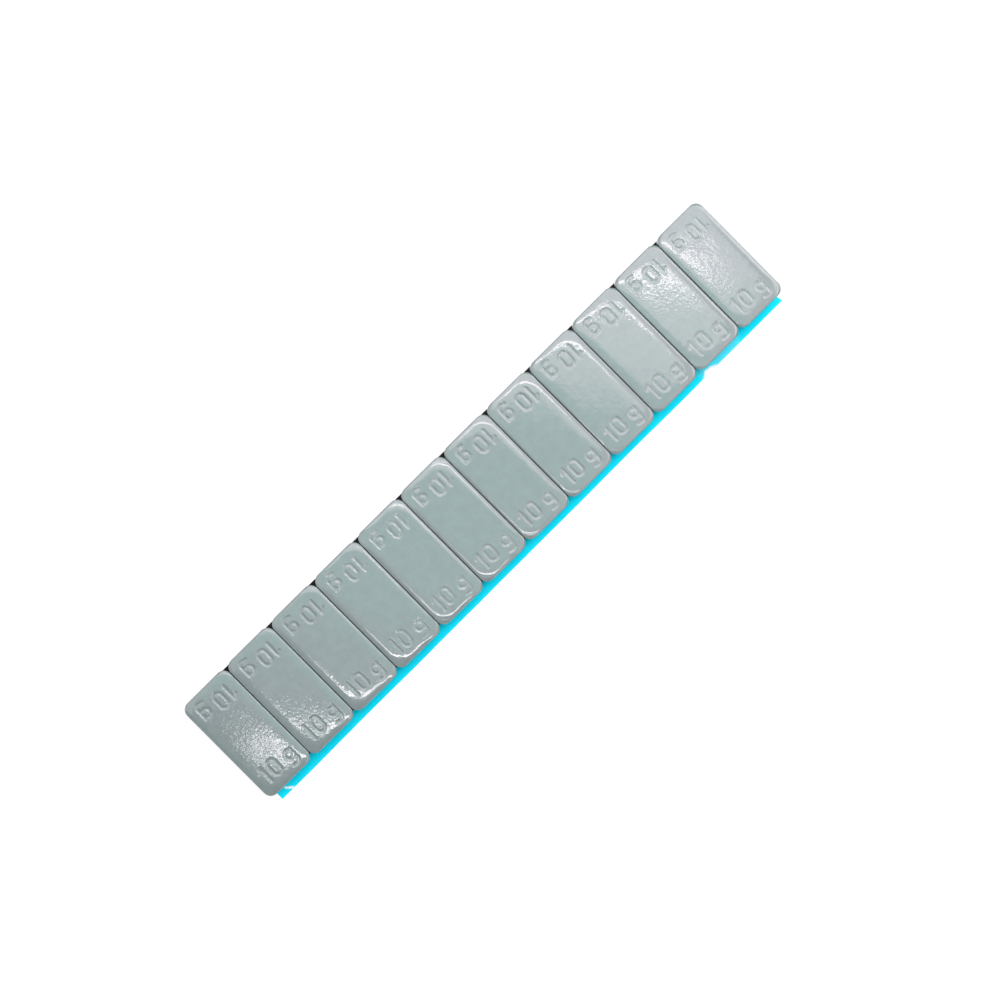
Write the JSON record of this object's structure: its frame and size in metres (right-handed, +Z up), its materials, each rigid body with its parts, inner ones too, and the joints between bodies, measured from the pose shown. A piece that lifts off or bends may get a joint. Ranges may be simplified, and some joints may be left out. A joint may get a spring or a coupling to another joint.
{
  "type": "adhesive wheel balance weight strip",
  "caption": "Row of grey coated steel balance weights with rounded edges on one black foam tape with a blue release film, stuck inside a wheel rim to balance it.",
  "frame": {"origin": "under the middle of the row of weights, on the underside of the release liner", "axes": "+X along the row towards the last weight, +Y towards the long edge where the liner stays hidden, +Z up through the weights' marked faces"},
  "size_m": [0.1439, 0.0267, 0.0055],
  "materials": {
    "weight_coat": "glossy powder coat with orange peel on steel",
    "foam": "matte closed-cell foam tape",
    "liner_film": "smooth coloured film"
  },
  "bodies": {
    "root": {"weight_segment_01": "weight_coat", "weight_segment_02": "weight_coat", "weight_segment_03": "weight_coat", "weight_segment_04": "weight_coat", "weight_segment_05": "weight_coat", "weight_segment_06": "weight_coat", "weight_segment_07": "weight_coat", "weight_segment_08": "weight_coat", "weight_segment_09": "weight_coat", "weight_segment_10": "weight_coat", "weight_segment_11": "weight_coat", "weight_segment_12": "weight_coat", "foam_tape": "foam", "release_liner": "liner_film"}
  },
  "joints": []
}
